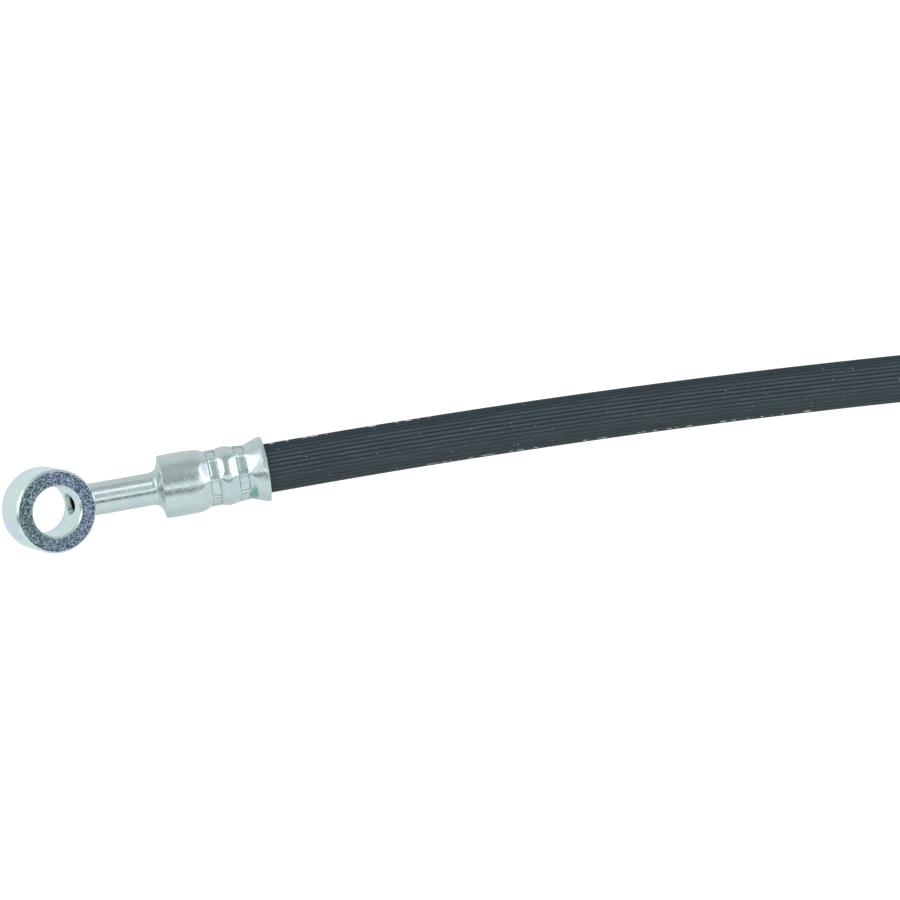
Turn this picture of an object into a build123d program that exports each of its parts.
from build123d import *
import math
import os

# Hydraulic hose assembly: a banjo eye on a short angled neck, a crimped ferrule,
# a ribbed rubber hose with two textile braids, and at the far end a second
# crimped ferrule with a swivel union nut. All sizes in millimetres.
# The frame's origin is the centre of the banjo bore, +Z runs along the bore
# and +X runs the way the hose leaves.
#
# Names ending in _s are stations along an end's axis. Both ends share one set:
# stations grow from the fitting towards the hose, and at the eye end station 0
# is on the ring's wall. Names ending in _r are radii from that axis.

os.makedirs("parts", exist_ok=True)

# ---- banjo eye ----
eye_r = 8.5            # outside radius of the ring
eye_half = 4.5         # half of the ring's thickness
bore_r = 5.1           # bore for an M10 hollow bolt
rim_chamfer = 0.4      # outer edges
bore_chamfer = 0.28    # bore edges
seat_cut = 6.0         # length of the cut that seats the neck tube
port_r = 2.3           # fluid port through the ring wall
port_drop = 0.9        # the port's axis lies this far below mid-height
port_start_x = 2.0     # the port's cut starts inside the bore
port_cut = 5.6
port_land = 1.4        # wall left between the tube's end and the bore

# ---- neck ----
neck_tilt = 20.0       # degrees the neck leans towards +Z
neck_drop = 0.1        # its axis meets the ring's wall this far below mid-height
tube_r = 3.37
tube_bore_r = 1.5
seat_s = -(eye_r - bore_r - port_land)    # the tube's end, sunk into the ring

# ---- ferrule ----
rim_s = 15.3           # crisp rim at the back of the shell
back_s = rim_s - 1.9   # the shell's back end
back_wall_s = 16.8     # inner face of the back wall
barrel_s = (17.2, 20.0)                   # plain cylinder
barrel_r = 6.60
mouth_s = 36.97        # flared end
crimp_clock = 6.5      # degrees from up to one corner of the octagon

# domed back of the shell: (radius, station)
back_profile = [
    (tube_r + 0.08, back_s), (tube_r + 0.30, rim_s - 1.15),
    (4.3, rim_s - 0.62), (5.2, rim_s - 0.3), (6.5, rim_s),
]
# outside of the crimped length, two waists with a rise between: (station, radius)
crimp_profile = [
    (barrel_s[1], barrel_r), (21.5, 6.56), (22.9, 6.43), (23.8, 6.22), (24.5, 5.90),
    (25.2, 5.62), (25.9, 5.56), (26.6, 5.64), (27.3, 5.88), (28.0, 6.07),
    (28.6, 6.14), (29.5, 6.07), (30.4, 5.86), (31.4, 5.62), (32.2, 5.48),
    (32.8, 5.52), (33.7, 5.83), (34.7, 6.22), (35.6, 6.55), (36.4, 6.79),
    (mouth_s, 6.83),
]
# inside of the shell, filled by the squeezed hose: (station, radius)
hollow_profile = [
    (22.4, 5.45), (24.0, 5.02), (25.7, 4.40), (27.3, 4.72), (28.6, 4.95),
    (30.3, 4.72), (32.2, 4.34), (33.3, 4.72), (34.4, 5.24), (35.7, 5.60),
    (mouth_s, 5.95),
]
hollow_start_r = hollow_profile[0][1]
# crimping die, clear of the shell at both ends: (station, apothem)
die_profile = [
    (12.0, 8.0), (20.2, 8.0),
    (25.12, 5.32), (25.60, 5.18), (26.85, 5.18), (27.40, 5.60), (28.05, 5.95),
    (28.70, 6.08), (29.35, 5.97), (31.00, 5.20), (31.60, 5.10), (32.85, 5.10),
    (37.38, 8.0), (40.0, 8.0),
]
flat_pairs = 4         # opposite pairs of flats on the octagon

# ---- collar and barbed stem, the same on both inserts ----
collar_r = 4.6
collar_s = (16.8, 18.9)
barb_root_r = 1.72
barb_tip_r = 2.05
first_barb_s = collar_s[1] + 0.8
barb_rise = 0.35       # length of a barb's steep side
barb_gap = 0.2         # plain root between barbs
barb_pitch = 2.6
barb_count = 5
insert_end_s = 33.2
insert_bore_r = 1.0

# ---- hose ----
hose_cut_s = collar_s[1]                  # the hose's cut end
grip_end_s = 34.3      # the squeezed length of hose ends here
plain_layers = {       # inner and outer radius
    "hose_liner": (1.60, 2.50),
    "hose_inner_braid": (2.50, 2.80),
    "hose_cushion": (2.80, 3.30),
    "hose_outer_braid": (3.30, 3.65),
}
cover_inner_r = 3.65
rib_crest_r = 5.12
rib_valley_r = 4.93
rib_count = 34
cover_trim_r = rib_crest_r + 0.2          # trimming outline, clear of the ribs
rib_lead = 4.0         # a free length's ribs start this far before its pivot

pivot_count = 9        # flexing points along the free hose
first_pivot = 14.0     # distance from each ferrule's mouth
pivot_s = mouth_s + first_pivot
pivot_pitch = 26.0
kink = 0.90            # degrees of rest bend at each pivot
ball_r = 5.50          # convex end of a length of hose
cup_r = 5.60           # hollow end of its neighbour

# ---- swivel insert ----
shank_r = 2.90
head_r = 4.15
head_back_s = 6.17     # the head's end towards the hose
head_bevel = 0.3
head_front_s = 3.97
cone_tip_s = 0.97
cone_tip_r = 2.20

# ---- union nut ----
nut_s = (-7.53, 9.97)  # threaded end, hose end
nut_bore_r = 2.96
nut_wall_s = 6.47      # inner face of the wall behind the insert's head
nut_af = 14.0          # across flats
corner_r = nut_af / math.sqrt(3)
turned_r = corner_r + 0.2                 # turning outline, clear of the corners
nut_face_r = (6.6, 6.3)                   # flat end faces, in the order of nut_s
nut_bevel = (0.95, 1.15)                  # length of the turned bevels
thread_minor_r = 4.46  # M10 x 1
thread_entry_r = 5.05
thread_end_s = 0.6     # the thread ends in front of the seat cone
relief_r = 5.20        # relief bore around the insert's head
bore_bevel = 0.6       # length of the cones at both ends of the thread

# ---- eye end's frame ----
tilt = math.radians(neck_tilt)
ahead = Vector(math.cos(tilt), 0, math.sin(tilt))
up = Vector(-math.sin(tilt), 0, math.cos(tilt))
side = Vector(0, 1, 0)
wall = Vector(eye_r, 0, -neck_drop)       # where the neck's axis meets the ring
# the free hose bows towards this direction
bow = (up * 0.644 - side * 0.765).normalized()
bend_normal = ahead.cross(bow).normalized()


def heading(turn):
    """Direction of the hose after bending by this many degrees."""
    angle = math.radians(turn)
    return (ahead * math.cos(angle) + bow * math.sin(angle)).normalized()


# ---- pivots, and the hose's heading before and after each ----
headings = [heading(kink * i) for i in range(pivot_count + 1)]
pivots = [wall + ahead * pivot_s]
for i in range(1, pivot_count):
    pivots.append(pivots[-1] + headings[i] * pivot_pitch)

# ---- far end's frame: its axis runs from the nut back into the hose ----
far_axis = headings[-1] * -1
far_origin = pivots[-1] - far_axis * pivot_s
total_bend = math.radians(kink * pivot_count)
far_up = (bow * math.cos(total_bend) - ahead * math.sin(total_bend)).normalized()
far_side = far_axis.cross(far_up).normalized()


def half_plane(origin, axis, across):
    """Sketch plane whose local x is the radius and local y the station."""
    return Plane(origin=origin, x_dir=across, z_dir=across.cross(axis))


def radius_first(profile):
    """Turns (station, radius) points into a half plane's (x, y)."""
    return [(r, s) for s, r in profile]


def save(part, name):
    part.label = name
    export_step(part, "parts/" + name + ".step")


# =====================================================================
# banjo eye
# =====================================================================
def build_banjo_eye():
    with BuildPart() as eye:
        with BuildSketch(Plane.XY.offset(-eye_half)):
            Circle(eye_r)
            Circle(bore_r, mode=Mode.SUBTRACT)
        extrude(amount=2 * eye_half)
        circles = eye.edges().filter_by(GeomType.CIRCLE)
        chamfer(circles.filter_by(lambda e: e.radius > 7), rim_chamfer)
        circles = eye.edges().filter_by(GeomType.CIRCLE)
        chamfer(circles.filter_by(lambda e: abs(e.radius - bore_r) < 0.01), bore_chamfer)
        # counterbore that seats the neck tube
        with BuildSketch(Plane(origin=wall + ahead * seat_s, x_dir=side, z_dir=ahead)):
            Circle(tube_r)
        extrude(amount=seat_cut, mode=Mode.SUBTRACT)
        # fluid port, square to the bore, breaking into the seat
        port_start = (port_start_x, 0, -port_drop)
        with BuildSketch(Plane(origin=port_start, x_dir=(0, 1, 0), z_dir=(1, 0, 0))):
            Circle(port_r)
        extrude(amount=port_cut, mode=Mode.SUBTRACT)
    return eye.part


# =====================================================================
# inserts: each one turned piece, outlined in (radius, station) points
# =====================================================================
def collar_and_stem():
    """Outside of both inserts, from the collar to the stem's tip."""
    points = [
        (collar_r, collar_s[0]),
        (collar_r, collar_s[1]),
        (barb_root_r, collar_s[1]),
    ]
    for n in range(barb_count):
        start_s = first_barb_s + n * barb_pitch
        points += [
            (barb_root_r, start_s),
            (barb_tip_r, start_s + barb_rise),
            (barb_root_r, start_s + barb_pitch - barb_gap),
        ]
    points += [
        (barb_root_r - 0.1, insert_end_s - 0.4),
        (barb_root_r - 0.4, insert_end_s),
        (insert_bore_r, insert_end_s),
    ]
    return points


def turned_piece(origin, axis, across, points):
    with BuildPart() as piece:
        with BuildSketch(half_plane(origin, axis, across)):
            with BuildLine():
                Polyline(*points, close=True)
            make_face()
        revolve(axis=Axis(origin, axis))
    return piece.part


neck_outline = [
    (tube_bore_r, seat_s),
    (tube_r, seat_s),
    (tube_r, collar_s[0]),
    *collar_and_stem(),
    (insert_bore_r, collar_s[1] - 0.5),
    (tube_bore_r, collar_s[1] - 1.0),
]
swivel_outline = [
    (insert_bore_r, cone_tip_s),
    (cone_tip_r, cone_tip_s),
    (head_r, head_front_s),
    (head_r, head_back_s - head_bevel),
    (head_r - head_bevel, head_back_s),
    (shank_r, head_back_s),
    (shank_r, collar_s[0]),
    *collar_and_stem(),
]


# =====================================================================
# crimped ferrule: turned hollow shell with two octagonal crimp bands
# =====================================================================
def crimped_ferrule(origin, axis, upward, sideways, hole_r):
    with BuildPart() as shell:
        with BuildSketch(half_plane(origin, axis, sideways)):
            with BuildLine():
                back = Spline(*back_profile, tangents=((0.06, 1), (1, 0.22)))
                rise = Line(back @ 1, (barrel_r, barrel_s[0]))
                Line(rise @ 1, (barrel_r, barrel_s[1]))
                waves = Spline(*radius_first(crimp_profile))
                Line(waves @ 1, (hollow_profile[-1][1], mouth_s))
                inside = Spline(*radius_first(reversed(hollow_profile)))
                Line(inside @ 1, (hollow_start_r, back_wall_s))
                Line((hollow_start_r, back_wall_s), (hole_r, back_wall_s))
                Line((hole_r, back_wall_s), (hole_r, back_s))
                Line((hole_r, back_s), back @ 0)
            make_face()
        revolve(axis=Axis(origin, axis))
        # each pass presses two opposite flats in both bands
        flat_step = 180 / flat_pairs
        mirrored = [(s, -apothem) for s, apothem in reversed(die_profile)]
        for n in range(flat_pairs):
            angle = math.radians(crimp_clock + flat_step * (n + 0.5))
            normal = upward * math.cos(angle) + sideways * math.sin(angle)
            with BuildSketch(Plane(origin=origin, x_dir=axis, z_dir=axis.cross(normal))):
                with BuildLine():
                    Polyline(*die_profile, *mirrored, close=True)
                make_face()
            extrude(amount=10, both=True, mode=Mode.INTERSECT)
    return shell.part


# =====================================================================
# swivel union nut: hexagon with turned corners, shoulder and plain thread bore
# =====================================================================
def build_union_nut():
    front_s, back_end_s = nut_s
    front_origin = far_origin + far_axis * front_s
    with BuildPart() as nut:
        with BuildSketch(Plane(origin=front_origin, x_dir=bend_normal, z_dir=far_axis)):
            RegularPolygon(radius=corner_r, side_count=6)
        extrude(amount=back_end_s - front_s)
        with BuildSketch(half_plane(far_origin, far_axis, bend_normal)):
            with BuildLine():
                Polyline(
                    (nut_bore_r, back_end_s),
                    (nut_face_r[1], back_end_s),
                    (turned_r, back_end_s - nut_bevel[1]),
                    (turned_r, front_s + nut_bevel[0]),
                    (nut_face_r[0], front_s),
                    (thread_entry_r, front_s),
                    (thread_minor_r, front_s + bore_bevel),
                    (thread_minor_r, thread_end_s),
                    (relief_r, thread_end_s + bore_bevel),
                    (relief_r, nut_wall_s),
                    (nut_bore_r, nut_wall_s),
                    close=True,
                )
            make_face()
        revolve(axis=Axis(far_origin, far_axis), mode=Mode.INTERSECT)
    return nut.part


# =====================================================================
# hose: every layer in lengths that meet on spheres at the pivots
# =====================================================================
def sphere_arc(from_r, to_r, centre_s, sphere_r, sign):
    """Arc of a sphere centred on the axis; sign picks the half along it."""
    def point(r):
        return (r, centre_s + sign * math.sqrt(sphere_r * sphere_r - r * r))

    return ThreePointArc(point(from_r), point((from_r + to_r) / 2), point(to_r))


def free_outline(inner_r, outer_r):
    """Length between two pivots: convex start, hollow end."""
    start = sphere_arc(inner_r, outer_r, 0, ball_r, -1)
    end = sphere_arc(outer_r, inner_r, pivot_pitch, cup_r, -1)
    Line(start @ 1, end @ 0)
    Line(end @ 1, start @ 0)


def gripped_outline(inner_r, outer_r, start_s, convex):
    """Length from a ferrule to its nearest pivot: square start, round end."""
    sphere_r, sign = (ball_r, 1) if convex else (cup_r, -1)
    end = sphere_arc(outer_r, inner_r, pivot_s, sphere_r, sign)
    Line((inner_r, start_s), (outer_r, start_s))
    Line((outer_r, start_s), end @ 0)
    Line(end @ 1, (inner_r, start_s))


def free_layer(origin, axis, inner_r, outer_r):
    with BuildPart() as layer:
        with BuildSketch(half_plane(origin, axis, bend_normal)):
            with BuildLine():
                free_outline(inner_r, outer_r)
            make_face()
        revolve(axis=Axis(origin, axis))
    return layer.part


def gripped_layer(origin, axis, inner_r, outer_r, convex, insert):
    """Plain layer with the insert's barbs pressed into it, if one is given."""
    with BuildPart() as layer:
        with BuildSketch(half_plane(origin, axis, bend_normal)):
            with BuildLine():
                gripped_outline(inner_r, outer_r, hose_cut_s, convex)
            make_face()
        revolve(axis=Axis(origin, axis))
        if insert is not None:
            add(insert, mode=Mode.SUBTRACT)
    return layer.part


def rib_section(origin, axis):
    """Cross-section of the cover, filled to the axis: rounded ribs all round."""
    def point(radius, ribs):
        angle = ribs * 2 * math.pi / rib_count
        return (radius * math.cos(angle), radius * math.sin(angle))

    with BuildSketch(Plane(origin=origin, x_dir=bend_normal, z_dir=axis)) as section:
        with BuildLine():
            for n in range(rib_count):
                ThreePointArc(
                    point(rib_valley_r, n),
                    point(rib_crest_r, n + 0.5),
                    point(rib_valley_r, n + 1),
                )
        make_face()
    return section.sketch


def free_cover(origin, axis):
    with BuildPart() as cover:
        add(rib_section(origin - axis * rib_lead, axis))
        extrude(amount=pivot_pitch + rib_lead, dir=axis)
        with BuildSketch(half_plane(origin, axis, bend_normal)):
            with BuildLine():
                free_outline(cover_inner_r, cover_trim_r)
            make_face()
        revolve(axis=Axis(origin, axis), mode=Mode.INTERSECT)
    return cover.part


def gripped_cover(origin, axis, convex):
    """Cover: smooth where the ferrule squeezes it, ribbed beyond."""
    with BuildPart() as cover:
        # the ribs overlap the squeezed length by 0.1 and overrun the pivot
        add(rib_section(origin + axis * (grip_end_s - 0.1), axis))
        extrude(amount=pivot_s + 6 - grip_end_s, dir=axis)
        with BuildSketch(half_plane(origin, axis, bend_normal)):
            with BuildLine():
                gripped_outline(cover_inner_r, cover_trim_r, grip_end_s - 1, convex)
            make_face()
        revolve(axis=Axis(origin, axis), mode=Mode.INTERSECT)
        # squeezed length, filling the inside of the shell up to the grip's end
        with BuildSketch(half_plane(origin, axis, bend_normal)):
            with BuildLine():
                skin = Spline(*radius_first(hollow_profile))
                Line((cover_inner_r, hose_cut_s), (hollow_start_r, hose_cut_s))
                Line((hollow_start_r, hose_cut_s), skin @ 0)
                Line(skin @ 1, (cover_inner_r, mouth_s))
                Line((cover_inner_r, mouth_s), (cover_inner_r, hose_cut_s))
            make_face()
            cut_length = mouth_s - grip_end_s + 2
            with Locations((cover_inner_r + 2, grip_end_s + cut_length / 2)):
                Rectangle(6, cut_length, mode=Mode.SUBTRACT)
        revolve(axis=Axis(origin, axis))
    return cover.part


def save_lengths(name, lengths):
    """Writes a layer's lengths, numbered from the eye end."""
    for number, part in enumerate(lengths, start=1):
        save(part, f"{name}_{number:02d}")


# =====================================================================
# build and write every piece
# =====================================================================
neck_insert = turned_piece(wall, ahead, side, neck_outline)
swivel_insert = turned_piece(far_origin, far_axis, bend_normal, swivel_outline)
save(build_banjo_eye(), "banjo_eye")
save(neck_insert, "neck_insert")
save(crimped_ferrule(wall, ahead, up, side, tube_r), "crimp_ferrule_eye_end")
save(
    crimped_ferrule(far_origin, far_axis, far_up, far_side, shank_r),
    "crimp_ferrule_nut_end",
)
save(swivel_insert, "swivel_insert")
save(build_union_nut(), "union_nut")

# origin and axis of each length between two pivots
free_frames = list(zip(pivots[:-1], headings[1:-1]))

for name, radii in plain_layers.items():
    # only the liner touches the inserts
    inserts = (neck_insert, swivel_insert) if name == "hose_liner" else (None, None)
    save_lengths(name, [
        gripped_layer(wall, ahead, *radii, convex=False, insert=inserts[0]),
        *[free_layer(origin, axis, *radii) for origin, axis in free_frames],
        gripped_layer(far_origin, far_axis, *radii, convex=True, insert=inserts[1]),
    ])

save_lengths("hose_cover", [
    gripped_cover(wall, ahead, convex=False),
    *[free_cover(origin, axis) for origin, axis in free_frames],
    gripped_cover(far_origin, far_axis, convex=True),
])
